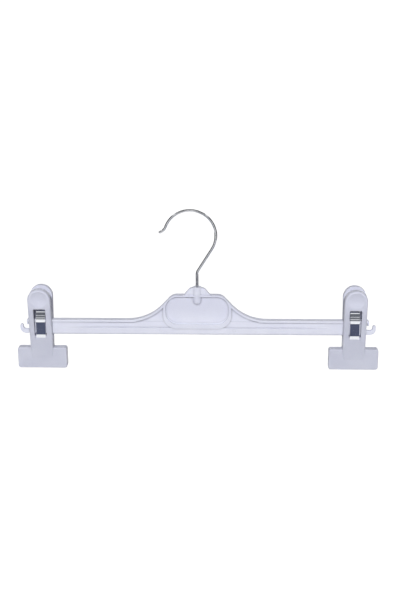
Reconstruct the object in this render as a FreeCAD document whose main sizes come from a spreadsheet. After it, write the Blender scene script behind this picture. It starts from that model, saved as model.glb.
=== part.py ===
import FreeCAD, Part
import math
import os
import Sketcher

# Skirt hanger: a moulded bar with a swivelling wire hook and two sprung pinch clips.
# Every body is drawn with its own zero height at the top of the bar, then set down by bar_drop,
# so that the shared origin lies where a rail touches the hook, on the swivel axis.
# X runs along the bar, Y from front to back, Z up. Lengths are millimetres, angles degrees.

doc = FreeCAD.newDocument("SkirtHanger")
sheet = doc.addObject("Spreadsheet::Sheet", "dim")

SIZES = [
    ("bar_depth", 8),
    ("bar_height", 16.7),
    ("bar_reach", 179),
    ("rim_width", 2.2),
    ("rim_round", 0.9),
    ("foot_depth", 5.4),
    ("foot_flat", 0.4),
    ("crest_height", 27.3),
    ("crest_inset", 12),
    ("crest_round", 11),
    ("crest_sweep", 50),
    ("crest_slope", 47),
    ("panel_floor", 3),
    ("step_gap", 0.25),
    ("ramp_length", 32),
    ("ramp_inset", 41),
    ("corner_floor", 2.2),
    ("corner_reach", 9),
    ("label_width", 66),
    ("label_lift", 12.25),
    ("label_straight", 2.45),
    ("label_margin", 1.8),
    ("label_floor", 2.4),
    ("label_cove", 1.2),
    ("ring_width", 4.6),
    ("ring_side", 2.35),
    ("ring_corner", 14),
    ("boss_base", 27),
    ("boss_crown", 15),
    ("boss_rise", 7.6),
    ("boss_corner", 6),
    ("boss_step", 1.2),
    ("tube_diameter", 9.4),
    ("collar_rise", 1),
    ("tube_drop", 11.3),
    ("tube_round", 0.7),
    ("bore_gap", 0.05),
    ("bore_wall", 5),
    ("bead_gap", 0.06),
    ("mark_diameter", 3),
    ("mark_depth", 0.15),
    ("mark_offset", 38.5),
    ("nub_height", 5.5),
    ("nub_length", 2.5),
    ("nub_round", 1.2),
    ("end_step", 0.7),
    ("end_lift", 1.1),
    ("end_shank", 4.6),
    ("end_thickness", 3.4),
    ("end_turn", 2.6),
    ("end_bend", 6),
    ("end_gap", 4),
    ("end_rise", 1),
    ("end_round", 0.5),
    ("wire_diameter", 3),
    ("wire_clearance", 0.3),
    ("bead_diameter", 5),
    ("bead_length", 2),
    ("bead_rise", 5),
    ("hook_radius", 26.5),
    ("hook_shift", 7.1),
    ("hook_rise", 62.8),
    ("hook_lean", 31.8),
    ("hook_bend", 6),
    ("hook_end", 160),
    ("flare_radius", 8.5),
    ("flare_turn", 42),
    ("tip_length", 3),
    ("tip_round", 0.5),
    ("clip_inset", 15),
    ("jaw_width", 52),
    ("jaw_neck", 14.2),
    ("jaw_height", 22.9),
    ("jaw_thickness", 4.45),
    ("jaw_gap", 0.15),
    ("jaw_corner", 2.6),
    ("jaw_round", 1.2),
    ("grip_count", 5),
    ("grip_pitch", 3),
    ("grip_inset", 5.5),
    ("grip_width", 1.2),
    ("grip_depth", 0.5),
    ("leaf_width", 24),
    ("leaf_height", 35),
    ("leaf_spread", 9),
    ("leaf_plate", 2.2),
    ("leaf_wall", 2),
    ("leaf_round", 2.2),
    ("leaf_gap", 1.2),
    ("ramp_run", 11.5),
    ("hollow_drop", 0.7),
    ("head_fill", 11),
    ("pinch_angle", 9.6),
    ("pinch_gap", 0.4),
    ("fulcrum_height", 5),
    ("knuckle_radius", 2.2),
    ("socket_gap", 0.05),
    ("notch_gap", 0.3),
    ("notch_drop", 0.6),
    ("window_gap", 3.1),
    ("window_head", 13.5),
    ("window_corner", 0.8),
    ("seat_slack", 1.2),
    ("seat_gap", 0.03),
    ("dish_radius", 24),
    ("dish_depth", 1.75),
    ("dish_height", 24.4),
    ("strip_width", 9.6),
    ("strip_thickness", 0.6),
    ("strip_clear", 1.5),
    ("arch_height", 8),
    ("arch_lean", 20),
    ("shoulder_drop", 1.2),
    ("shoulder_round", 8),
    ("arm_lift", 1.7),
    ("lip_spread", 0.8),
    ("lip_length", 1.5),
]

for row, (name, value) in enumerate(SIZES, start=1):
    sheet.set("A%d" % row, name)
    sheet.set("B%d" % row, str(value))
    sheet.setAlias("B%d" % row, name)
doc.recompute()

# Lengths that several pieces share, written once as expressions on the sheet.
SHARED = {
    "hook_height": "(crest_height + hook_rise)",
    "bar_drop": "(crest_height + hook_rise + sqrt((hook_radius - wire_diameter / 2) ^ 2 - hook_shift ^ 2))",
    "bend_height": "(hook_height - (hook_radius - hook_shift * cos(hook_lean)) / sin(hook_lean))",
    "bend_reach": "(hook_bend * tan(hook_lean / 2))",
    "half_depth": "(bar_depth / 2)",
    "foot_round": "((foot_depth - foot_flat) / 2)",
    "sweep_x": "(crest_flat + (crest_round + crest_sweep) * sin(crest_slope)"
               " + (crest_height - (crest_round + crest_sweep) * (1 - cos(crest_slope)))"
               " / tan(crest_slope))",
    "rim_sweep": "(crest_sweep + rim_width)",
    "ramp_end": "(bar_reach - ramp_inset)",
    "ramp_start": "(bar_reach - ramp_inset - ramp_length)",
    "label_drop": "(bar_height - label_lift)",
    "label_head": "(crest_height - label_margin)",
    "label_round": "((crest_height - label_margin + label_drop) / 2 - label_straight)",
    "crest_flat": "(label_width / 2 - crest_inset)",
    "step_drop": "(label_drop + ring_width - step_gap)",
    "ring_x": "(label_width / 2 + ring_side)",
    "ring_turn": "(label_width / 2 + ring_side - ring_corner)",
    "ring_low": "(ring_corner - label_drop - ring_width)",
    "ring_foot": "(-label_drop - ring_width)",
    "boss_depth": "(bar_depth - 2 * boss_step)",
    "boss_height": "(crest_height + boss_rise)",
    "boss_slope": "atan(2 * boss_rise / (boss_base - boss_crown))",
    "boss_turn": "(boss_corner * tan(boss_slope / 2))",
    "boss_sink": "(label_margin / 2)",
    "boss_root": "(boss_base / 2 + boss_sink / tan(boss_slope))",
    "mark_drop": "((step_drop + bar_height - foot_round) / 2)",
    "tube_crown": "(crest_height + boss_rise + collar_rise)",
    "tube_foot": "(crest_height - tube_drop)",
    "bore_foot": "(crest_height - tube_drop + bore_wall)",
    "wire_foot": "(bore_foot + wire_clearance)",
    "bead_height": "(bore_foot + bead_rise)",
    "end_root": "(bar_reach - nub_length)",
    "panel_reach": "(bar_reach - nub_length + rim_round)",
    "end_depth": "(foot_depth - 2 * end_step)",
    "end_drop": "(bar_height - end_lift - end_shank)",
    "end_foot": "(bar_height - end_lift)",
    "end_turn_reach": "(bar_reach + end_gap - end_turn)",
    "end_inner": "(bar_reach + end_gap)",
    "end_outer": "(bar_reach + end_gap + end_thickness)",
    "end_curl": "(end_turn - end_drop)",
    "end_tip": "(end_turn - end_drop + end_rise)",
    "clip_offset": "(bar_reach - clip_inset)",
    "jaw_head": "(bar_height + jaw_neck)",
    "jaw_foot": "(bar_height + jaw_neck + jaw_height)",
    "jaw_face": "(jaw_gap + jaw_thickness)",
    "grip_drop": "(jaw_head + grip_inset)",
    "ramp_foot": "(bar_height + jaw_neck + ramp_run)",
    "leaf_reach": "(bar_depth / 2 + leaf_spread)",
    "splay": "((leaf_reach - jaw_gap - jaw_thickness) / (leaf_height + ramp_foot))",
    "notch_foot": "(bar_height + notch_drop)",
    "hollow_foot": "(bar_height + hollow_drop)",
    "window_width": "(strip_width + window_gap)",
    "arm_reach": "(bar_depth / 2 + strip_clear)",
    "crown_inner": "(arm_reach * cos(arch_lean) - (arch_height + shoulder_drop) * sin(arch_lean))",
    "crown_outer": "(crown_inner + strip_thickness)",
    "shoulder_mid": "(shoulder_round - arm_reach)",
    "shoulder_foot": "(shoulder_drop + shoulder_round * tan(arch_lean / 2))",
    "shoulder_outer": "(shoulder_round + strip_thickness)",
    "arm_foot": "(hollow_foot - arm_lift)",
    "lip_reach": "(arm_reach + lip_spread)",
    "lip_foot": "(hollow_foot + lip_length)",
    "lip_slope": "(lip_spread / (arm_lift + lip_length))",
    "seat_foot": "(lip_foot + seat_slack)",
}
NAMES = {name for name, value in SIZES}
SLACK = 0.001


def expand(text):
    """Write the shared lengths out and point each size at its cell of the sheet."""
    words = []
    word = ""
    for letter in text + " ":
        if letter.isalnum() or letter == "_":
            word += letter
            continue
        if word in SHARED:
            word = expand(SHARED[word])
        elif word in NAMES:
            word = "dim." + word
        words.append(word + letter)
        word = ""
    return "".join(words).strip()


def number(text):
    value = sheet.evalExpression(expand(text))
    return float(getattr(value, "Value", value))


def bind(item, path, text):
    item.setExpression(path, expand(text))


def new_body(name, x_text, turn=0):
    body = doc.addObject("PartDesign::Body", name)
    body.Label = name
    upright = FreeCAD.Rotation(FreeCAD.Vector(0, 0, 1), turn)
    body.Placement = FreeCAD.Placement(FreeCAD.Vector(0, 0, 0), upright)
    bind(body, "Placement.Base.x", x_text)
    bind(body, "Placement.Base.z", "-bar_drop")
    return body


def origin_plane(body, role):
    for feature in body.Origin.OriginFeatures:
        if feature.Role == role:
            return feature
    raise RuntimeError(role)


def new_sketch(body, name, role, rise="0", slide="0", tilt=None):
    """A sketch on one of the body's own planes, raised along its normal and slid along its height."""
    sketch = body.newObject("Sketcher::SketchObject", name)
    sketch.AttachmentSupport = [(origin_plane(body, role), "")]
    sketch.MapMode = "FlatFace"
    if tilt:
        lean = FreeCAD.Rotation(FreeCAD.Vector(1, 0, 0), number(tilt))
        sketch.AttachmentOffset = FreeCAD.Placement(FreeCAD.Vector(0, 0, 0), lean)
        bind(sketch, "AttachmentOffset.Rotation.Angle", tilt)
    if rise != "0":
        bind(sketch, "AttachmentOffset.Base.z", rise)
    if slide != "0":
        bind(sketch, "AttachmentOffset.Base.y", slide)
    return sketch


def pin(sketch, edge, end, across, up):
    for kind, text in (("DistanceX", across), ("DistanceY", up)):
        index = sketch.addConstraint(Sketcher.Constraint(kind, -1, 1, edge, end, number(text)))
        bind(sketch, "Constraints[%d]" % index, text)


def arc_between(first, last, radius, turn):
    """A circular arc shorter than a half turn: turn is 1 for anticlockwise, -1 for clockwise."""
    chord = last - first
    middle = (first + last) * 0.5
    aside = FreeCAD.Vector(-chord.y, chord.x, 0).normalize()
    lift = math.sqrt(max(radius ** 2 - (chord.Length / 2) ** 2, 0))
    centre = middle + aside * lift * turn
    circle = Part.Circle(centre, FreeCAD.Vector(0, 0, 1), radius)
    start = math.atan2(first.y - centre.y, first.x - centre.x)
    stop = math.atan2(last.y - centre.y, last.x - centre.x)
    if turn < 0:
        start, stop = stop, start
    return Part.ArcOfCircle(circle, start, stop)


def draw(sketch, stops, closed=True):
    """Join the stops in order. A stop is (across, up) or (across, up, radius, turn): an arc leaves it."""
    spots = [FreeCAD.Vector(number(stop[0]), number(stop[1]), 0) for stop in stops]
    count = len(stops) if closed else len(stops) - 1
    edges = []
    for index in range(count):
        stop = stops[index]
        first = spots[index]
        last = spots[(index + 1) % len(stops)]
        if len(stop) == 2:
            edge = sketch.addGeometry(Part.LineSegment(first, last))
            edges.append((edge, 1, 2))
        else:
            edge = sketch.addGeometry(arc_between(first, last, number(stop[2]), stop[3]))
            edges.append((edge, 1, 2) if stop[3] > 0 else (edge, 2, 1))
    for index, (edge, head, tail) in enumerate(edges):
        pin(sketch, edge, head, stops[index][0], stops[index][1])
        follower = edges[(index + 1) % len(edges)]
        if closed or index + 1 < len(edges):
            sketch.addConstraint(Sketcher.Constraint("Coincident", edge, tail, follower[0], follower[1]))
        else:
            pin(sketch, edge, tail, stops[-1][0], stops[-1][1])
    for index, (edge, head, tail) in enumerate(edges):
        if len(stops[index]) > 2:
            limit = sketch.addConstraint(Sketcher.Constraint("Radius", edge, number(stops[index][2])))
            bind(sketch, "Constraints[%d]" % limit, stops[index][2])
    doc.recompute()


def draw_circle(sketch, across, up, radius):
    centre = FreeCAD.Vector(number(across), number(up), 0)
    edge = sketch.addGeometry(Part.Circle(centre, FreeCAD.Vector(0, 0, 1), number(radius)))
    pin(sketch, edge, 3, across, up)
    limit = sketch.addConstraint(Sketcher.Constraint("Radius", edge, number(radius)))
    bind(sketch, "Constraints[%d]" % limit, radius)
    doc.recompute()


def rounded_box(left, right, low, high, radius):
    """Stops of a box with rounded corners, anticlockwise from the lower left."""
    return [
        ("%s + %s" % (left, radius), low),
        ("%s - %s" % (right, radius), low, radius, 1),
        (right, "%s + %s" % (low, radius)),
        (right, "%s - %s" % (high, radius), radius, 1),
        ("%s - %s" % (right, radius), high),
        ("%s + %s" % (left, radius), high, radius, 1),
        (left, "%s - %s" % (high, radius)),
        (left, "%s + %s" % (low, radius), radius, 1),
    ]


def mirrored(stops):
    """The same outline on the other side of the middle, still anticlockwise."""
    flipped = []
    for index in range(len(stops) - 1, -1, -1):
        stop = stops[index]
        before = stops[index - 1]
        flipped.append(("-(%s)" % stop[0], stop[1]) + before[2:])
    return flipped


def pad(body, name, sketch, length, middle=False, back=False):
    feature = body.newObject("PartDesign::Pad", name)
    feature.Profile = sketch
    bind(feature, "Length", length)
    feature.Midplane = middle
    feature.Reversed = back
    sketch.Visibility = False
    doc.recompute()
    return feature


def pocket(body, name, sketch, length=None, middle=False, outward=False):
    before = body.Shape.Volume
    feature = body.newObject("PartDesign::Pocket", name)
    feature.Profile = sketch
    if length:
        bind(feature, "Length", length)
    else:
        feature.Type = "ThroughAll"
    feature.Midplane = middle
    feature.Reversed = outward
    sketch.Visibility = False
    doc.recompute()
    if not body.Shape.Volume < before:
        raise RuntimeError(name + " removed nothing")
    return feature


def spin(body, kind, name, sketch):
    feature = body.newObject("PartDesign::" + kind, name)
    feature.Profile = sketch
    feature.ReferenceAxis = (sketch, ["V_Axis"])
    feature.Angle = 360
    sketch.Visibility = False
    doc.recompute()
    return feature


def edges_where(feature, test):
    found = []
    for index, edge in enumerate(feature.Shape.Edges, start=1):
        box_of_edge = edge.BoundBox
        if test(edge, box_of_edge):
            found.append("Edge%d" % index)
    return found


def round_edges(body, name, base, test, radius):
    feature = body.newObject("PartDesign::Fillet", name)
    feature.Base = (base, edges_where(base, test))
    bind(feature, "Radius", radius)
    doc.recompute()
    return feature


def flat_at(low, high, value):
    return abs(low - value) < SLACK and abs(high - value) < SLACK


# Moulded bar: outline, rim and panels, label recess, hook boss, end hooks.
def make_bar():
    body = new_body("hanger_bar", "0")

    # The boss that carries the hook is rounded first, then stands with its foot in the crest.
    flank_x = "boss_crown / 2 + boss_turn * cos(boss_slope)"
    flank_z = "boss_height - boss_turn * sin(boss_slope)"
    boss_sketch = new_sketch(body, "boss_outline", "XZ_Plane")
    draw(boss_sketch, [
        ("-boss_root", "crest_height - boss_sink"),
        ("boss_root", "crest_height - boss_sink"),
        (flank_x, flank_z, "boss_corner", 1),
        ("boss_crown / 2 - boss_turn", "boss_height"),
        ("boss_turn - boss_crown / 2", "boss_height", "boss_corner", 1),
        ("-(%s)" % flank_x, flank_z),
    ])
    boss = pad(body, "boss", boss_sketch, "boss_depth", middle=True)

    def boss_edge(edge, size):
        high = size.ZMax > number("boss_height") - SLACK
        on_face = size.YLength < SLACK and abs(abs(size.YMin) - number("boss_depth / 2")) < SLACK
        return high and on_face
    round_edges(body, "boss_rounds", boss, boss_edge, "tube_round")

    right = [
        ("sweep_x", "0"),
        ("sweep_x - crest_sweep * sin(crest_slope)", "crest_sweep * (1 - cos(crest_slope))"),
        ("crest_flat + crest_round * sin(crest_slope)",
         "crest_height - crest_round * (1 - cos(crest_slope))"),
        ("crest_flat", "crest_height"),
    ]
    outline = [
        ("-end_root", "-bar_height"),
        ("end_root", "-bar_height"),
        ("end_root", "-nub_height"),
        ("bar_reach - nub_round", "-nub_height", "nub_round", 1),
        ("bar_reach", "nub_round - nub_height"),
        ("bar_reach", "-nub_round", "nub_round", 1),
        ("bar_reach - nub_round", "0"),
        right[0] + ("crest_sweep", -1),
        right[1],
        right[2] + ("crest_round", 1),
        right[3],
        ("-crest_flat", "crest_height", "crest_round", 1),
        ("-(%s)" % right[2][0], right[2][1]),
        ("-(%s)" % right[1][0], right[1][1], "crest_sweep", -1),
        ("-sweep_x", "0"),
        ("nub_round - bar_reach", "0", "nub_round", 1),
        ("-bar_reach", "-nub_round"),
        ("-bar_reach", "nub_round - nub_height", "nub_round", 1),
        ("nub_round - bar_reach", "-nub_height"),
        ("-end_root", "-nub_height"),
    ]
    shape = new_sketch(body, "bar_outline", "XZ_Plane")
    draw(shape, outline)
    blank = pad(body, "bar_blank", shape, "bar_depth", middle=True)

    def top_edge(edge, size):
        on_face = flat_at(size.YMin, size.YMax, number("half_depth"))
        on_face = on_face or flat_at(size.YMin, size.YMax, -number("half_depth"))
        return on_face and size.ZMin > -number("nub_height") / 2
    round_edges(body, "bar_rim_round", blank, top_edge, "rim_round")

    # Front recesses first, then their mirror on the rear.
    band_sketch = new_sketch(body, "band_outline", "XZ_Plane", rise="half_depth")
    ring_cut = "sqrt(ring_corner ^ 2 - (ring_low + rim_width) ^ 2)"
    draw(band_sketch, [
        ("-panel_reach", "-rim_width - bar_height"),
        ("panel_reach", "-rim_width - bar_height"),
        ("panel_reach", "-rim_width"),
        ("ring_turn + " + ring_cut, "-rim_width", "ring_corner", -1),
        ("ring_turn", "ring_foot"),
        ("-ring_turn", "ring_foot", "ring_corner", -1),
        ("-(ring_turn + " + ring_cut + ")", "-rim_width"),
        ("-panel_reach", "-rim_width"),
    ])
    band = pocket(body, "band", band_sketch, "(bar_depth - foot_depth) / 2")

    ring_step = "sqrt(ring_corner ^ 2 - (ring_low + step_drop) ^ 2)"
    panel = [
        ("ramp_end", "-step_drop"),
        ("ramp_end", "-rim_width"),
        ("ring_turn + " + ring_cut, "-rim_width", "ring_corner", -1),
        ("ring_turn + " + ring_step, "-step_drop"),
    ]
    panel_sketch = new_sketch(body, "panel_outline", "XZ_Plane", rise="half_depth")
    draw(panel_sketch, panel)
    draw(panel_sketch, mirrored(panel))
    panels = pocket(body, "panels", panel_sketch, "(bar_depth - panel_floor) / 2")

    corner_head = "crest_sweep - sqrt(rim_sweep ^ 2 - (sweep_x - ring_x) ^ 2)"
    corner_tail = "crest_sweep - sqrt(rim_sweep ^ 2 - corner_reach ^ 2)"
    corner = [
        ("ring_turn + " + ring_cut, "-rim_width"),
        ("sweep_x - corner_reach", "-rim_width"),
        ("sweep_x - corner_reach", corner_tail, "rim_sweep", -1),
        ("ring_x", corner_head),
        ("ring_x", "ring_low", "ring_corner", -1),
    ]
    corner_sketch = new_sketch(body, "corner_outline", "XZ_Plane", rise="half_depth")
    draw(corner_sketch, corner)
    draw(corner_sketch, mirrored(corner))
    corners = pocket(body, "corners", corner_sketch, "(bar_depth - corner_floor) / 2")

    label_sketch = new_sketch(body, "label_outline", "XZ_Plane", rise="half_depth")
    draw(label_sketch, rounded_box(
        "-label_width / 2", "label_width / 2", "-label_drop", "label_head", "label_round"))
    label = pocket(body, "label", label_sketch, "(bar_depth - label_floor) / 2")

    mark_sketch = new_sketch(body, "mark_outline", "XZ_Plane", rise="foot_depth / 2")
    draw_circle(mark_sketch, "mark_offset", "-mark_drop", "mark_diameter / 2")
    draw_circle(mark_sketch, "-mark_offset", "-mark_drop", "mark_diameter / 2")
    marks = pocket(body, "marks", mark_sketch, "mark_depth")

    rear = body.newObject("PartDesign::Mirrored", "rear_recesses")
    rear.Originals = [band, panels, corners, label, marks]
    rear.MirrorPlane = (origin_plane(body, "XZ_Plane"), [""])
    body.Tip = rear
    doc.recompute()

    # The panel floors climb to the level of the lower band before they reach the clips.
    ramp_sketch = new_sketch(body, "ramp_outline", "XY_Plane", rise="-step_drop")
    for side in ("", "-"):
        for face in ("", "-"):
            start = (side + "ramp_start", face + "panel_floor / 4")
            low = (side + "ramp_end", face + "panel_floor / 4")
            high = (side + "ramp_end", face + "foot_depth / 2")
            root = (side + "ramp_start", face + "panel_floor / 2")
            stops = [start, low, high, root]
            draw(ramp_sketch, stops if side == face else stops[::-1])
    ramps = pad(body, "ramps", ramp_sketch, "step_drop - rim_width")

    def foot_edge(edge, size):
        along = size.XLength > number("bar_reach")
        return along and flat_at(size.ZMin, size.ZMax, -number("bar_height"))
    feet = round_edges(body, "foot_rounds", ramps, foot_edge, "foot_round")

    def cove_edge(edge, size):
        floor = number("label_floor") / 2
        on_floor = flat_at(size.YMin, size.YMax, floor) or flat_at(size.YMin, size.YMax, -floor)
        return on_floor and max(abs(size.XMin), abs(size.XMax)) < number("label_width / 2 + rim_round")
    round_edges(body, "label_coves", feet, cove_edge, "label_cove")

    # Hook tube, closed below by a round end that stands in the label recess.
    tube_sketch = new_sketch(body, "tube_outline", "XZ_Plane")
    draw(tube_sketch, [
        ("0", "tube_foot", "tube_diameter / 2", 1),
        ("tube_diameter / 2", "tube_foot + tube_diameter / 2"),
        ("tube_diameter / 2", "tube_crown - tube_round", "tube_round", 1),
        ("tube_diameter / 2 - tube_round", "tube_crown"),
        ("0", "tube_crown"),
    ])
    spin(body, "Revolution", "tube", tube_sketch)

    bore_sketch = new_sketch(body, "bore_outline", "XZ_Plane")
    draw(bore_sketch, [
        ("0", "bore_foot"),
        ("wire_diameter / 2 + bore_gap", "bore_foot"),
        ("wire_diameter / 2 + bore_gap", "bead_height - bead_length / 2 - bead_gap"),
        ("bead_diameter / 2 + bore_gap", "bead_height - bead_length / 2 - bead_gap"),
        ("bead_diameter / 2 + bore_gap", "bead_height + bead_length / 2 + bead_gap"),
        ("wire_diameter / 2 + bore_gap", "bead_height + bead_length / 2 + bead_gap"),
        ("wire_diameter / 2 + bore_gap", "tube_crown - tube_round / 2"),
        ("wire_diameter / 2 + bore_gap + tube_round / 2", "tube_crown"),
        ("0", "tube_crown"),
    ])
    before = body.Shape.Volume
    spin(body, "Groove", "bore", bore_sketch)
    if not body.Shape.Volume < before:
        raise RuntimeError("the bore removed nothing")

    # Upturned hooks at both ends, for garment loops.
    loop = [
        ("end_root - nub_length", "-end_foot"),
        ("end_outer - end_bend", "-end_foot", "end_bend", 1),
        ("end_outer", "end_bend - end_foot"),
        ("end_outer", "end_tip", "end_thickness / 2", 1),
        ("end_outer - end_thickness / 2", "end_tip + end_thickness / 2", "end_thickness / 2", 1),
        ("end_inner", "end_tip"),
        ("end_inner", "end_curl", "end_turn", -1),
        ("end_turn_reach", "-end_drop"),
        ("end_root - nub_length", "-end_drop"),
    ]
    loop_sketch = new_sketch(body, "loop_outline", "XZ_Plane")
    draw(loop_sketch, loop)
    draw(loop_sketch, mirrored(loop))
    loops = pad(body, "end_loops", loop_sketch, "end_depth", middle=True)

    def loop_edge(edge, size):
        beyond = min(abs(size.XMin), abs(size.XMax)) > number("end_root") + SLACK
        on_face = size.YLength < SLACK and abs(abs(size.YMin) - number("end_depth / 2")) < SLACK
        return beyond and on_face
    round_edges(body, "loop_rounds", loops, loop_edge, "end_round")
    return body


# Wire hook: one bent wire with a retaining bead near its buried end.
def make_hook():
    body = new_body("wire_hook", "0")
    path = new_sketch(body, "wire_path", "XZ_Plane")
    heading = "(hook_end + 90)"
    final = "(hook_end + 90 - flare_turn)"
    end_x = "(hook_radius * cos(hook_end) - hook_shift)"
    end_z = "(hook_height + hook_radius * sin(hook_end))"
    flare_z = "(%s + flare_radius * (cos(%s) - cos(%s)))" % (end_z, final, heading)
    flare_x = "(%s - flare_radius * (sin(%s) - sin(%s)))" % (end_x, final, heading)
    tip_x = "%s + tip_length * cos(%s)" % (flare_x, final)
    tip_z = "%s + tip_length * sin(%s)" % (flare_z, final)
    draw(path, [
        ("0", "wire_foot"),
        ("0", "bend_height - bend_reach", "hook_bend", -1),
        ("bend_reach * sin(hook_lean)", "bend_height + bend_reach * cos(hook_lean)"),
        ("hook_radius * cos(hook_lean) - hook_shift", "hook_height - hook_radius * sin(hook_lean)",
         "hook_radius", 1),
        ("-hook_shift", "hook_height + hook_radius", "hook_radius", 1),
        (end_x, end_z, "flare_radius", -1),
        (flare_x, flare_z),
        (tip_x, tip_z),
    ], closed=False)
    section = new_sketch(body, "wire_section", "XY_Plane", rise="wire_foot")
    draw_circle(section, "0", "0", "wire_diameter / 2")
    wire = body.newObject("PartDesign::AdditivePipe", "wire")
    wire.Profile = section
    wire.Spine = (path, [])
    wire.Mode = "Frenet"
    path.Visibility = False
    section.Visibility = False
    doc.recompute()

    bead_sketch = new_sketch(body, "bead_outline", "XZ_Plane")
    draw(bead_sketch, [
        ("0", "bead_height - bead_length / 2"),
        ("bead_diameter / 2 - bead_length / 4", "bead_height - bead_length / 2", "bead_length / 4", 1),
        ("bead_diameter / 2", "bead_height - bead_length / 4"),
        ("bead_diameter / 2", "bead_height + bead_length / 4", "bead_length / 4", 1),
        ("bead_diameter / 2 - bead_length / 4", "bead_height + bead_length / 2"),
        ("0", "bead_height + bead_length / 2"),
    ])
    bead = spin(body, "Revolution", "bead", bead_sketch)

    def tip_edge(edge, size):
        tip = FreeCAD.Vector(number(tip_x), 0, number(tip_z))
        return edge.CenterOfMass.distanceToPoint(tip) < SLACK
    round_edges(body, "tip_round_edge", bead, tip_edge, "tip_round")
    return body


# One leaf of a clip, drawn as the front leaf. A rear leaf is the same drawing turned half round;
# the front leaf carries the fulcrum knuckles and the rear leaf the sockets they rock in.
def make_leaf(name, x_text, turn, knuckled):
    body = new_body(name, x_text, turn)
    lip_x = "-(pinch_gap + (leaf_height - fulcrum_height) * tan(pinch_angle))"
    lip_z = "fulcrum_height + (leaf_gap - pinch_gap) / tan(pinch_angle)"
    if knuckled:
        radius = "knuckle_radius"
        crown = ("knuckle_radius", "fulcrum_height")
        bulge = -1
    else:
        radius = "(knuckle_radius + socket_gap)"
        crown = ("-(knuckle_radius + socket_gap)", "fulcrum_height")
        bulge = 1
    rise = "sqrt(%s ^ 2 - leaf_gap ^ 2)" % radius
    side = [
        ("-jaw_face", "-ramp_foot"),
        ("-leaf_reach", "leaf_height"),
        (lip_x, "leaf_height"),
        ("-leaf_gap", lip_z),
        ("-leaf_gap", "fulcrum_height + " + rise, radius, bulge),
        crown + (radius, bulge),
        ("-leaf_gap", "fulcrum_height - " + rise),
        ("-leaf_gap", "notch_gap"),
        ("-half_depth - notch_gap", "notch_gap"),
        ("-half_depth - notch_gap", "-notch_foot"),
        ("-leaf_gap", "-notch_foot"),
        ("-leaf_gap", "-ramp_foot"),
    ]
    side_sketch = new_sketch(body, "side_outline", "YZ_Plane")
    draw(side_sketch, side)
    pad(body, "leaf_blank", side_sketch, "leaf_width", middle=True)

    # Round the head of the lever.
    head_sketch = new_sketch(body, "head_outline", "XZ_Plane")
    draw(head_sketch, [
        ("leaf_width / 2", "leaf_height - leaf_width / 2", "leaf_width / 2", 1),
        ("0", "leaf_height", "leaf_width / 2", 1),
        ("-leaf_width / 2", "leaf_height - leaf_width / 2"),
        ("-leaf_width / 2 - leaf_wall", "leaf_height - leaf_width / 2"),
        ("-leaf_width / 2 - leaf_wall", "leaf_height + leaf_wall"),
        ("leaf_width / 2 + leaf_wall", "leaf_height + leaf_wall"),
        ("leaf_width / 2 + leaf_wall", "leaf_height - leaf_width / 2"),
    ])
    headed = pocket(body, "head", head_sketch, middle=True)

    def face_edge(edge, size):
        return size.ZLength > number("leaf_round") and on_front(edge)

    def on_front(edge):
        tilt = number("splay")
        base = number("jaw_face")
        foot = number("ramp_foot")
        for spot in (0, 0.5, 1):
            reach = edge.FirstParameter + (edge.LastParameter - edge.FirstParameter) * spot
            point = edge.valueAt(reach)
            if abs(point.y + base + tilt * (point.z + foot)) > SLACK:
                return False
        return True
    round_edges(body, "leaf_rounds", headed, face_edge, "leaf_round")

    # Hollow between the walls, its floor parallel to the face.
    tilt = "atan(splay)"
    run = "/ cos(atan(splay))"
    hollow_sketch = new_sketch(body, "hollow_outline", "XZ_Plane", tilt=tilt, slide="-ramp_foot",
                               rise="jaw_face - leaf_plate " + run)
    inner = "(leaf_width / 2 - leaf_wall)"
    low = "(ramp_foot - hollow_foot) " + run
    shoulder = "(leaf_height - leaf_width / 2 - head_fill + ramp_foot) " + run
    draw(hollow_sketch, [
        ("-" + inner, low),
        (inner, low),
        (inner, shoulder, inner, 1),
        ("0", shoulder + " + " + inner, inner, 1),
        ("-" + inner, shoulder),
    ])
    pocket(body, "hollow", hollow_sketch)

    window_sketch = new_sketch(body, "window_outline", "XZ_Plane", tilt=tilt, slide="-ramp_foot",
                               rise="jaw_face")
    draw(window_sketch, rounded_box(
        "-window_width / 2", "window_width / 2", "(ramp_foot - hollow_foot) " + run,
        "(ramp_foot + window_head) " + run, "window_corner"))
    pocket(body, "window", window_sketch, "leaf_plate * 2", middle=True)

    # Seat for the lip of the spring, just below the window.
    seat_sketch = new_sketch(body, "seat_outline", "YZ_Plane")
    draw(seat_sketch, [
        ("-arm_reach + seat_gap", "-arm_foot"),
        ("-leaf_reach", "-arm_foot"),
        ("-leaf_reach", "-seat_foot"),
        ("-arm_reach + seat_gap - lip_slope * (seat_foot - arm_foot)", "-seat_foot"),
    ])
    pocket(body, "seat", seat_sketch, "window_width", middle=True)

    # Shallow thumb dish, a slice of a large ball.
    dish = body.newObject("PartDesign::SubtractiveSphere", "thumb_dish")
    dish.AttachmentSupport = [(origin_plane(body, "XZ_Plane"), "")]
    dish.MapMode = "FlatFace"
    bind(dish, "Radius", "dish_radius")
    bind(dish, "AttachmentOffset.Base.y", "dish_height - (dish_radius - dish_depth) * sin(atan(splay))")
    bind(dish, "AttachmentOffset.Base.z",
         "jaw_face + splay * (dish_height + ramp_foot) + (dish_radius - dish_depth) * cos(atan(splay))")
    doc.recompute()

    # Jaw, with grip grooves on its inner face.
    jaw_sketch = new_sketch(body, "jaw_outline", "XZ_Plane", rise="jaw_gap")
    draw(jaw_sketch, rounded_box("-jaw_width / 2", "jaw_width / 2", "-jaw_foot", "-jaw_head", "jaw_corner"))
    jaw = pad(body, "jaw", jaw_sketch, "jaw_thickness")

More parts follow.
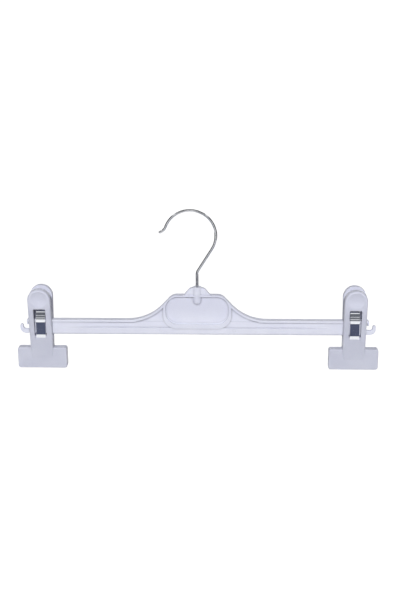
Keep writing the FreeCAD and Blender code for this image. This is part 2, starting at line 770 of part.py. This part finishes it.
    def jaw_edge(edge, size):
        front = flat_at(size.YMin, size.YMax, -number("jaw_face"))
        outside = max(abs(size.XMin), abs(size.XMax)) > number("leaf_width / 2 + leaf_wall")
        return front and outside
    round_edges(body, "jaw_rounds", jaw, jaw_edge, "jaw_round")

    grip_sketch = new_sketch(body, "grip_outline", "YZ_Plane")
    draw(grip_sketch, [
        ("-jaw_gap - grip_depth", "-grip_drop"),
        ("-jaw_gap + grip_depth", "-grip_drop - grip_width"),
        ("-jaw_gap + grip_depth", "-grip_drop + grip_width"),
    ])
    grip = pocket(body, "grip", grip_sketch, "jaw_width * 2", middle=True)
    grips = body.newObject("PartDesign::LinearPattern", "grips")
    grips.Originals = [grip]
    grips.Direction = (grip_sketch, ["V_Axis"])
    grips.Reversed = True
    bind(grips, "Length", "grip_pitch * (grip_count - 1)")
    bind(grips, "Occurrences", "grip_count")
    body.Tip = grips
    doc.recompute()
    return body


# Strip spring: an arch over the bar, two arms and two lips that press the leaves together.
def make_spring(name, x_text):
    body = new_body(name, x_text)
    front_half = [
        ("0", "arch_height + crown_inner", "crown_inner", 1),
        ("-crown_inner * cos(arch_lean)", "arch_height + crown_inner * sin(arch_lean)"),
        ("shoulder_mid - shoulder_round * cos(arch_lean)",
         "shoulder_round * sin(arch_lean) - shoulder_foot", "shoulder_round", 1),
        ("-arm_reach", "-shoulder_foot"),
        ("-arm_reach", "-arm_foot"),
        ("-lip_reach", "-lip_foot"),
        ("-lip_reach - strip_thickness", "-lip_foot"),
        ("-arm_reach - strip_thickness", "-arm_foot"),
        ("-arm_reach - strip_thickness", "-shoulder_foot", "shoulder_outer", -1),
        ("shoulder_mid - shoulder_outer * cos(arch_lean)",
         "shoulder_outer * sin(arch_lean) - shoulder_foot"),
        ("-crown_outer * cos(arch_lean)", "arch_height + crown_outer * sin(arch_lean)", "crown_outer", -1),
        ("0", "arch_height + crown_outer"),
    ]
    rear_half = mirrored(front_half)
    strip_sketch = new_sketch(body, "strip_outline", "YZ_Plane")
    draw(strip_sketch, front_half[:-1] + rear_half[:-1])
    pad(body, "strip", strip_sketch, "strip_width", middle=True)
    return body


bodies = [make_bar(), make_hook()]
for side, x_text in (("left", "-clip_offset"), ("right", "clip_offset")):
    bodies.append(make_leaf(side + "_front_leaf", x_text, 0, True))
    bodies.append(make_leaf(side + "_back_leaf", x_text, 180, False))
    bodies.append(make_spring(side + "_spring", x_text))
doc.recompute()

for item in doc.Objects:
    if "Invalid" in item.State or "Error" in item.State:
        raise RuntimeError("%s did not build: %s" % (item.Name, item.State))
os.makedirs("parts", exist_ok=True)
for body in bodies:
    shape = body.Shape
    if shape.isNull() or not shape.isValid() or len(shape.Solids) != 1:
        raise RuntimeError("%s is not one valid solid" % body.Label)
    shape.exportStep("parts/%s.step" % body.Label)
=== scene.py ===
import math

import bmesh
import bpy
from mathutils import Matrix, Vector


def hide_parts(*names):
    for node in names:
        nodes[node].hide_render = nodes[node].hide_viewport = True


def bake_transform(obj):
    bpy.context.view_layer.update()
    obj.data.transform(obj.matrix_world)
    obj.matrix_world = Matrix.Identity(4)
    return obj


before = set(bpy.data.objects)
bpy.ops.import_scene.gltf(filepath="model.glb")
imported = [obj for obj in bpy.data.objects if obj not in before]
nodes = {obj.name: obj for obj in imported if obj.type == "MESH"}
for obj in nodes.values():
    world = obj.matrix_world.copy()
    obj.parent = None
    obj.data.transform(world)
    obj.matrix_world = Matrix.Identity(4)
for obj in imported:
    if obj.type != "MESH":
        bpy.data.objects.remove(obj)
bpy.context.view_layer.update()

# Lengths are in metres. The origin is where the hook rests on a rail, DROP above the bar's top.

DROP = 0.11407
SIDES = (("left", -1.0), ("right", 1.0))
HALVES = (("front", -1.0), ("back", 1.0))
CUT_TOLERANCE = 1e-7

# Plastic

# Painted light and shade that changes with height
HEIGHT_SHADING_SHARE = 0.85
HEIGHT_SHADING_FADE = 0.003
DUST = (0.42, 0.42, 0.45, 1.0)
DUST_SHARE = 0.35
# Painted shade in nooks that do not face up
PAINTED_NOOK_SHADE = (0.30, 0.30, 0.335, 1.0)
PAINTED_NOOK_SHADE_SHARE = 0.62
NOOK_REACH = 0.0028
NOOK_SAMPLES = 12
GRAIN_SHINE = 0.05
GRAIN_DULL = 0.07
SCUFF_STRETCH = (60.0, 900.0, 700.0)
SCUFF_DULL = 0.18
PLASTIC_IOR = 1.49
SCATTER_WEIGHT = 0.10
SCATTER_RADIUS = (1.0, 1.0, 1.15)
SCATTER_SCALE = 0.0010

# Metal

DRAWN_DULL = 0.05
SCRATCH_STRETCH = (2600.0, 500.0, 2600.0)
ROLLED_STRETCH = (0.0, 0.0, 420.0)
ROLLED_LEAST = 0.12
ROLLED_EDGE = 0.001

# Studio

FLOOR_Z = -0.70
FLOOR_RADIUS = 60.0
FLOOR_CORNERS = 64
FLOOR_DEEP = (0.56, 0.56, 0.565, 1.0)
FLOOR_PALE = (0.59, 0.59, 0.59, 1.0)
FLOOR_GLOW = 0.72
SKY_COLOUR = (1.0, 1.0, 1.0, 1.0)
SKY_LIGHT = 0.20
SKY_SEEN = 1.0

QUARTER = math.pi / 2.0
LYING = (0.0, 0.0, 0.0)
FACING_FRONT = (QUARTER, 0.0, 0.0)
FACING_SIDE = (0.0, QUARTER, 0.0)

# Cards: name, width, height, place, turn, colour. Those in pairs stand at the right and mirrored.

PAIRED_CARDS = (
    ("flag_near_", 0.34, 0.22, (0.24, -0.24, -0.29), LYING, (0.28, 0.31, 0.40, 1.0)),
    ("flag_low_", 0.34, 0.5, (0.27, -0.62, -0.29), LYING, (0.098, 0.11, 0.168, 1.0)),
    ("flag_side_", 1.6, 3.2, (1.3, 0.0, 0.2), FACING_SIDE, (0.08, 0.08, 0.09, 1.0)),
    ("flag_high_", 1.05, 1.3, (0.775, -1.7, 1.0), FACING_FRONT, (0.16, 0.165, 0.185, 1.0)),
)
SINGLE_CARDS = (
    ("flag_low_middle", 0.18, 0.5, (0.0, -0.62, -0.29), LYING, (0.62, 0.62, 0.63, 1.0)),
    ("flag_level_middle", 0.5, 0.85, (0.0, -1.7, -0.08), FACING_FRONT, (0.30, 0.30, 0.31, 1.0)),
    ("flag_over", 3.0, 2.6, (0.0, 0.2, 1.7), LYING, (0.12, 0.12, 0.125, 1.0)),
    ("flag_rear_low", 2.6, 0.4, (0.0, 1.6, -0.48), FACING_FRONT, (0.20, 0.205, 0.23, 1.0)),
    ("flag_rear_high", 2.6, 0.9, (0.0, 1.6, 0.6), FACING_FRONT, (0.28, 0.28, 0.29, 1.0)),
)

# Camera

AZIMUTH = math.radians(1.679)
ELEVATION = math.radians(17.849)
ROLL = math.radians(0.224)
AIM = Vector((0.00346, 0.0, -0.09333))
DISTANCE = 1.1265
LENS_MM = 64.83
SENSOR_MM = 36.0
FAR_CLIP = 200.0


# Node helpers

def new_material(name):
    material = bpy.data.materials.new(name)
    material.use_nodes = True
    material.node_tree.nodes.clear()
    return material


class Graph:
    """Adds nodes to one node tree. What is fed to a socket is a plain value or another socket."""

    # Colour sockets of the Mix node, by number because their names occur more than once
    MIX_FIRST, MIX_SECOND, MIX_RESULT = 6, 7, 2

    def __init__(self, tree):
        self.tree = tree

    def node(self, kind, **values):
        made = self.tree.nodes.new(kind)
        for key, value in values.items():
            setattr(made, key, value)
        return made

    def feed(self, socket, value):
        if isinstance(value, bpy.types.NodeSocket):
            self.tree.links.new(value, socket)
        else:
            socket.default_value = value

    def coords(self, scale=(1.0, 1.0, 1.0)):
        place = self.node("ShaderNodeTexCoord")
        mapping = self.node("ShaderNodeMapping")
        self.feed(mapping.inputs["Vector"], place.outputs["Object"])
        mapping.inputs["Scale"].default_value = scale
        return mapping.outputs["Vector"]

    def upward(self, vector):
        """Z of a vector."""
        made = self.node("ShaderNodeSeparateXYZ")
        self.feed(made.inputs["Vector"], vector)
        return made.outputs["Z"]

    def noise(self, vector, scale=1.0, detail=3.0, rough=0.5):
        made = self.node("ShaderNodeTexNoise")
        self.feed(made.inputs["Vector"], vector)
        made.inputs["Scale"].default_value = scale
        made.inputs["Detail"].default_value = detail
        made.inputs["Roughness"].default_value = rough
        return made.outputs["Fac"]

    def span(self, value, low, high, to_low=0.0, to_high=1.0):
        """Value from low to high, turned into to_low to to_high and held at its ends."""
        made = self.node("ShaderNodeMapRange")
        self.feed(made.inputs["Value"], value)
        made.inputs["From Min"].default_value = low
        made.inputs["From Max"].default_value = high
        made.inputs["To Min"].default_value = to_low
        made.inputs["To Max"].default_value = to_high
        return made.outputs["Result"]

    def math(self, operation, first, second):
        made = self.node("ShaderNodeMath", operation=operation)
        self.feed(made.inputs[0], first)
        self.feed(made.inputs[1], second)
        return made.outputs["Value"]

    def mix(self, factor, first, second):
        made = self.node("ShaderNodeMix", data_type="RGBA")
        self.feed(made.inputs["Factor"], factor)
        self.feed(made.inputs[self.MIX_FIRST], first)
        self.feed(made.inputs[self.MIX_SECOND], second)
        return made.outputs[self.MIX_RESULT]

    def bump(self, height, strength, distance, normal=None):
        made = self.node("ShaderNodeBump")
        self.feed(made.inputs["Height"], height)
        made.inputs["Strength"].default_value = strength
        made.inputs["Distance"].default_value = distance
        if normal is not None:
            self.feed(made.inputs["Normal"], normal)
        return made.outputs["Normal"]

    def seen(self):
        """1 for what is looked at, also in a mirror or through glass, and 0 for what lights."""
        rays = self.node("ShaderNodeLightPath")
        looks = self.math("MAXIMUM", rays.outputs["Is Camera Ray"], rays.outputs["Is Glossy Ray"])
        return self.math("MAXIMUM", looks, rays.outputs["Is Transmission Ray"])

    def principled(self, colour, rough, normal):
        made = self.node("ShaderNodeBsdfPrincipled")
        self.feed(made.inputs["Base Color"], colour)
        self.feed(made.inputs["Roughness"], rough)
        self.feed(made.inputs["Normal"], normal)
        self.output(made.outputs["BSDF"])
        return made

    def output(self, shader):
        made = self.node("ShaderNodeOutputMaterial")
        self.feed(made.inputs["Surface"], shader)


# Materials of the object

def plastic(name, pale, deep, gloss, height_shading, low, high, top):
    """Moulded white plastic: flow mottling, painted light and shade that changes with height,
    dust, painted shade in nooks that do not face up, grain, sink waves and scuffs. The painted
    height shading sets in from low to high and ends just above top."""
    material = new_material(name)
    graph = Graph(material.node_tree)
    place = graph.coords()
    flow = graph.noise(place, scale=55.0, detail=4.0, rough=0.55)
    grain = graph.noise(place, scale=2600.0, detail=2.0, rough=0.6)
    wave = graph.noise(place, scale=90.0, detail=2.0, rough=0.4)
    scuff = graph.noise(graph.coords(SCUFF_STRETCH), detail=5.0, rough=0.7)
    specks = graph.noise(place, scale=1300.0, detail=1.0, rough=0.3)

    colour = graph.mix(graph.span(flow, low=0.35, high=0.65), pale, deep)
    # Painted light and shade: the colour turns lighter or darker with height, from low to high,
    # and stops just above top.
    height = graph.upward(place)
    rise = graph.span(height, low, high, to_high=HEIGHT_SHADING_SHARE)
    fade = graph.span(height, top, top + HEIGHT_SHADING_FADE, to_low=1.0, to_high=0.0)
    colour = graph.mix(graph.math("MULTIPLY", rise, fade), colour, height_shading)
    dust = graph.span(specks, low=0.74, high=0.80, to_high=DUST_SHARE)
    colour = graph.mix(dust, colour, DUST)
    # Painted shade: a darker colour in nooks found by ambient occlusion, left off surfaces that
    # face up.
    nook = graph.node("ShaderNodeAmbientOcclusion", samples=NOOK_SAMPLES, only_local=True)
    nook.inputs["Distance"].default_value = NOOK_REACH
    nook_shade = graph.span(nook.outputs["AO"], low=0.45, high=0.95, to_low=PAINTED_NOOK_SHADE_SHARE, to_high=0.0)
    facing = graph.upward(graph.node("ShaderNodeNewGeometry").outputs["Normal"])
    beneath = graph.span(facing, low=0.05, high=0.5, to_low=1.0, to_high=0.0)
    colour = graph.mix(graph.math("MULTIPLY", nook_shade, beneath), colour, PAINTED_NOOK_SHADE)

    rough = graph.span(grain, low=0.3, high=0.7,
                       to_low=gloss - GRAIN_SHINE, to_high=gloss + GRAIN_DULL)
    rough = graph.math("ADD", rough, graph.span(scuff, low=0.60, high=0.72, to_high=SCUFF_DULL))
    normal = graph.bump(wave, strength=0.10, distance=0.0012)
    normal = graph.bump(grain, strength=0.10, distance=0.00004, normal=normal)
    shader = graph.principled(colour, rough, normal)
    shader.inputs["IOR"].default_value = PLASTIC_IOR
    shader.inputs["Subsurface Weight"].default_value = SCATTER_WEIGHT
    shader.inputs["Subsurface Radius"].default_value = SCATTER_RADIUS
    shader.inputs["Subsurface Scale"].default_value = SCATTER_SCALE
    return material


def steel(name, pale, deep, gloss, lines, wavy):
    """Bright metal with drawn lines, soft stains and fine scratches. Wavy metal is also rolled
    uneven, above the bar's top more than below it."""
    material = new_material(name)
    graph = Graph(material.node_tree)
    drawn = graph.noise(graph.coords(lines), detail=4.0, rough=0.65)
    stain = graph.noise(graph.coords(), scale=140.0, detail=4.0, rough=0.6)
    scratch = graph.noise(graph.coords(SCRATCH_STRETCH), detail=3.0, rough=0.7)

    colour = graph.mix(graph.span(stain, low=0.35, high=0.7), pale, deep)
    rough = graph.span(drawn, low=0.3, high=0.7, to_low=gloss, to_high=gloss + DRAWN_DULL)
    rough = graph.math("ADD", rough, graph.span(stain, low=0.55, high=0.75, to_high=gloss))
    normal = graph.bump(drawn, strength=0.12, distance=0.00003)
    if wavy:
        rolled = graph.noise(graph.coords(ROLLED_STRETCH), detail=2.0)
        bow = graph.span(graph.upward(graph.coords()), -DROP - ROLLED_EDGE, -DROP + ROLLED_EDGE,
                         to_low=ROLLED_LEAST)
        normal = graph.bump(graph.math("MULTIPLY", rolled, bow),
                            strength=0.34, distance=0.0012, normal=normal)
    normal = graph.bump(graph.span(scratch, low=0.62, high=0.70),
                        strength=0.08, distance=0.00002, normal=normal)
    shader = graph.principled(colour, rough, normal)
    shader.inputs["Metallic"].default_value = 1.0
    return material


# The bar is painted darker towards its top and the clips lighter towards their heads: painted
# shade and light.
bar_plastic = plastic("bar_plastic", gloss=0.26,
                      pale=(0.77, 0.785, 0.895, 1.0), deep=(0.735, 0.75, 0.865, 1.0),
                      height_shading=(0.685, 0.70, 0.825, 1.0),
                      low=0.001 - DROP, high=0.012 - DROP, top=0.0265 - DROP)
clip_plastic = plastic("clip_plastic", gloss=0.30,
                       pale=(0.61, 0.625, 0.73, 1.0), deep=(0.575, 0.59, 0.70, 1.0),
                       height_shading=(0.69, 0.705, 0.825, 1.0),
                       low=0.008 - DROP, high=0.020 - DROP, top=0.06 - DROP)
hook_wire = steel("hook_wire", gloss=0.10,
                  pale=(0.74, 0.75, 0.77, 1.0), deep=(0.60, 0.61, 0.63, 1.0),
                  lines=(900.0, 900.0, 900.0), wavy=False)
spring_steel = steel("spring_steel", gloss=0.03,
                     pale=(0.86, 0.88, 0.92, 1.0), deep=(0.76, 0.78, 0.82, 1.0),
                     lines=(3500.0, 120.0, 120.0), wavy=True)


# Pieces of the object

def dress(thing, material):
    thing.data.materials.clear()
    thing.data.materials.append(material)


def half_of(whole, name, way):
    """Front (way -1) or back (way 1) half of a piece's mesh, cut at the middle plane."""
    piece = bpy.data.objects.new(name, whole.data.copy())
    bpy.context.scene.collection.objects.link(piece)
    cut = bmesh.new()
    cut.from_mesh(piece.data)
    bmesh.ops.bisect_plane(cut, geom=cut.verts[:] + cut.edges[:] + cut.faces[:],
                           dist=CUT_TOLERANCE, plane_co=(0.0, 0.0, 0.0),
                           plane_no=(0.0, -way, 0.0), clear_outer=True)
    cut.to_mesh(piece.data)
    cut.free()
    return piece


# Each spring is shown as two halves, front and back.

dress(nodes["hanger_bar"], bar_plastic)
dress(nodes["wire_hook"], hook_wire)
for side, sign in SIDES:
    for half, _ in HALVES:
        dress(nodes["%s_%s_leaf" % (side, half)], clip_plastic)
    for half, way in HALVES:
        piece = half_of(nodes[side + "_spring"], "%s_spring_%s" % (side, half), way)
        dress(piece, spring_steel)
        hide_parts(side + "_spring")
        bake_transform(piece)


# Floor and world: both look white, and light the object less than they show

floor_material = new_material("floor_pale")
graph = Graph(floor_material.node_tree)
paper = graph.mix(graph.noise(graph.coords(), scale=6.0), FLOOR_DEEP, FLOOR_PALE)
matt = graph.node("ShaderNodeBsdfDiffuse")
graph.feed(matt.inputs["Color"], paper)
lift = graph.node("ShaderNodeEmission")
graph.feed(lift.inputs["Strength"], graph.math("MULTIPLY", graph.seen(), FLOOR_GLOW))
both = graph.node("ShaderNodeAddShader")
graph.feed(both.inputs[0], matt.outputs["BSDF"])
graph.feed(both.inputs[1], lift.outputs["Emission"])
graph.output(both.outputs["Shader"])
bpy.ops.mesh.primitive_circle_add(vertices=FLOOR_CORNERS, radius=FLOOR_RADIUS, fill_type="NGON",
                                  location=(0.0, 0.0, FLOOR_Z))
floor = bpy.context.object
floor.name = "studio_floor"
floor.data.materials.append(floor_material)

world = bpy.data.worlds.new("studio_world")
bpy.context.scene.world = world
world.use_nodes = True
world.node_tree.nodes.clear()
graph = Graph(world.node_tree)
sky = graph.node("ShaderNodeBackground")
brightness = graph.span(graph.seen(), low=0.0, high=1.0, to_low=SKY_LIGHT, to_high=SKY_SEEN)
graph.feed(sky.inputs["Strength"], brightness)
sky.inputs["Color"].default_value = SKY_COLOUR
out = graph.node("ShaderNodeOutputWorld")
graph.feed(out.inputs["Surface"], sky.outputs["Background"])


# Lamps and cards

def toward(azimuth, elevation):
    """Direction from the object to what stands at these angles, in radians from the front."""
    level = math.cos(elevation)
    return Vector((math.sin(azimuth) * level, -math.cos(azimuth) * level, math.sin(elevation)))


def sun(name, azimuth, elevation, strength, spread):
    """Soft lamp far away, its angles in degrees, that makes no highlight of its own."""
    lamp = bpy.data.lights.new(name, "SUN")
    lamp.energy = strength
    lamp.angle = math.radians(spread)
    thing = bpy.data.objects.new(name, lamp)
    thing.visible_glossy = False
    bpy.context.scene.collection.objects.link(thing)
    shine = -toward(math.radians(azimuth), math.radians(elevation))
    thing.rotation_mode = "QUATERNION"
    thing.rotation_quaternion = shine.to_track_quat("-Z", "Y")


def flag(name, width, height, place, turn, colour):
    """Studio card beside the set, there only to be mirrored in bright metal and gloss."""
    bpy.ops.mesh.primitive_plane_add(size=1.0, location=place, rotation=turn)
    card = bpy.context.object
    card.name = name
    card.scale = (width, height, 1.0)
    material = new_material(name)
    graph = Graph(material.node_tree)
    glow = graph.node("ShaderNodeEmission")
    glow.inputs["Color"].default_value = colour
    cloud = graph.noise(graph.coords(), scale=9.0)
    graph.feed(glow.inputs["Strength"],
               graph.span(cloud, low=0.3, high=0.7, to_low=1.2, to_high=0.8))
    graph.output(glow.outputs["Emission"])
    card.data.materials.append(material)
    card.visible_camera = False
    card.visible_diffuse = False
    card.visible_shadow = False


sun("key", azimuth=0.0, elevation=30.0, strength=2.45, spread=10.0)
sun("rear_fill", azimuth=180.0, elevation=4.0, strength=2.3, spread=40.0)
for side, sign in SIDES:
    for name, width, height, (x, y, z), turn, colour in PAIRED_CARDS:
        flag(name + side, width, height, (sign * x, y, z), turn, colour)
for card in SINGLE_CARDS:
    flag(*card)

# Camera, at the photograph's viewing angle

right = Vector((math.cos(AZIMUTH), math.sin(AZIMUTH), 0.0))
back = toward(AZIMUTH, ELEVATION)
up = back.cross(right)
across = right * math.cos(ROLL) - up * math.sin(ROLL)
upward = right * math.sin(ROLL) + up * math.cos(ROLL)
eye = AIM + back * DISTANCE
camera_data = bpy.data.cameras.new("camera")
camera_data.lens = LENS_MM
camera_data.sensor_width = SENSOR_MM
camera_data.clip_end = FAR_CLIP
camera = bpy.data.objects.new("camera", camera_data)
bpy.context.scene.collection.objects.link(camera)
axes = Matrix((across, upward, back)).transposed().to_4x4()
camera.matrix_world = Matrix.Translation(eye) @ axes
bpy.context.scene.camera = camera
bpy.context.scene.view_settings.view_transform = "Standard"
